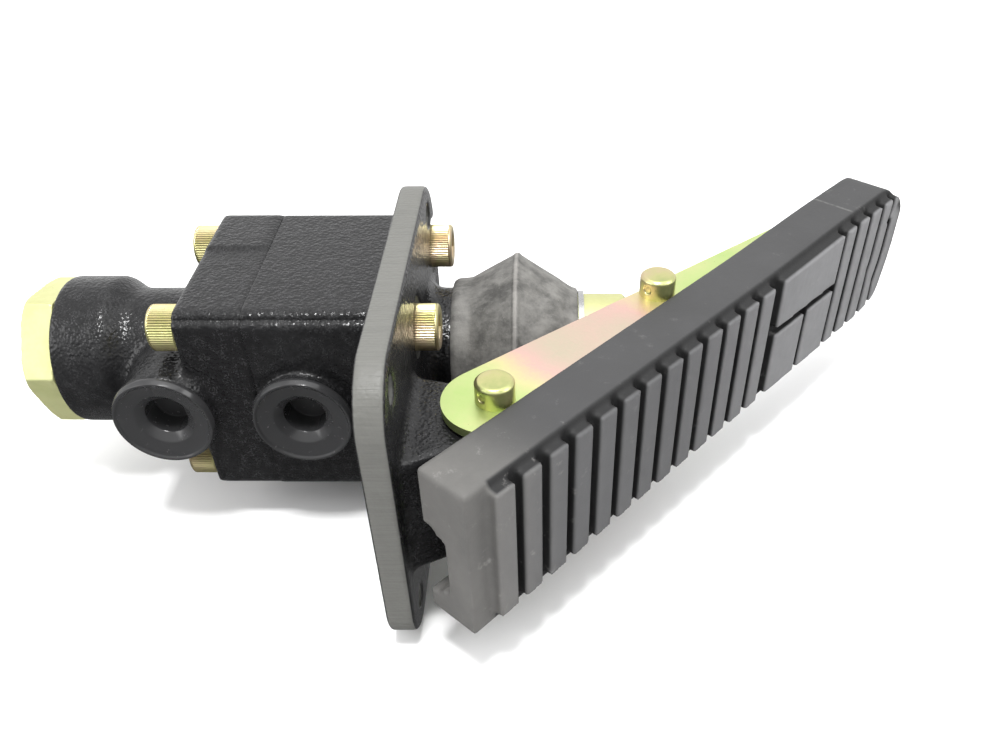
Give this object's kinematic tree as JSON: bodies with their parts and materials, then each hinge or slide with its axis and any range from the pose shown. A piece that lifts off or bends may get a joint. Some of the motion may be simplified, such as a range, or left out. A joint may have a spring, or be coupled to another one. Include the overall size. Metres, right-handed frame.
{
  "type": "foot brake valve",
  "caption": "Foot-operated hydraulic brake valve with a treadle pedal, roller and booted plunger on a floor plate.",
  "frame": {"origin": "on the valve's axis, in the face of the pedal base that lies on the vehicle's floor", "axes": "+X along the valve's axis towards the pedal, +Z along the pedal's hinge pin, -Y to the two near ports"},
  "size_m": [0.3457, 0.2155, 0.113],
  "materials": {
    "black_paint": "gloss",
    "black_plastic": "gloss",
    "yellow_zinc": "satin",
    "pale_zinc": "satin",
    "plain_steel": "satin",
    "spring_steel": "satin",
    "bronze": "satin",
    "seal_rubber": "matte",
    "boot_rubber": "matte",
    "pad_rubber": "matte"
  },
  "bodies": {
    "valve": {"valve_body": "black_paint", "actuator_housing": "black_paint", "pedal_base": "black_paint", "end_plug": "pale_zinc", "end_plug_seal": "seal_rubber", "body_seal": "seal_rubber", "base_seal": "seal_rubber", "body_screws": "yellow_zinc", "plate_screws": "yellow_zinc", "pressure_port_plug": "black_plastic", "brake_port_plug": "black_plastic", "tank_port_plug": "black_plastic", "plunger_bush": "bronze", "wiper_seal": "seal_rubber", "hinge_bushes": "bronze", "plunger_boot": "boot_rubber", "spool_return_spring": "spring_steel"},
    "plunger": {"plunger": "pale_zinc", "boot_ring": "plain_steel", "plunger_snap_ring": "spring_steel", "outer_regulating_spring": "spring_steel", "inner_regulating_spring": "spring_steel"},
    "spool": {"spool": "plain_steel", "spring_seat": "plain_steel"},
    "pedal": {"pedal_bracket": "yellow_zinc", "pedal_pad": "pad_rubber", "hinge_pin": "yellow_zinc", "hinge_roll_pins": "spring_steel", "roller_pin": "yellow_zinc", "roller_roll_pins": "spring_steel", "roller_spacers": "plain_steel"},
    "roller": {"roller": "plain_steel"}
  },
  "joints": [
    {"name": "pedal_hinge", "type": "hinge", "parent": "valve", "child": "pedal", "pos_m": [0.0372, -0.0672, 0], "axis": [0, 0, 1], "range_deg": [0, 11], "stiffness_Nm_per_rad": 6, "springref_deg": -28.65},
    {"name": "plunger_slide", "type": "slide", "parent": "valve", "child": "plunger", "axis": [-1, 0, 0], "range_m": [0, 0.0135], "deforming": ["plunger_boot", "outer_regulating_spring", "inner_regulating_spring"]},
    {"name": "spool_slide", "type": "slide", "parent": "valve", "child": "spool", "axis": [-1, 0, 0], "range_m": [0, 0.0045], "deforming": ["spool_return_spring"]},
    {"name": "roller_spin", "type": "hinge", "parent": "pedal", "child": "roller", "pos_m": [0.09272, -0.0051, 0], "axis": [0, 0, 1], "continuous": true}
  ],
  "couplings": [
    {"joint": "plunger_slide", "follows": "pedal_hinge", "m_per_rad": 0.0669},
    {"joint": "spool_slide", "follows": "pedal_hinge", "m_per_rad": 0.022}
  ]
}
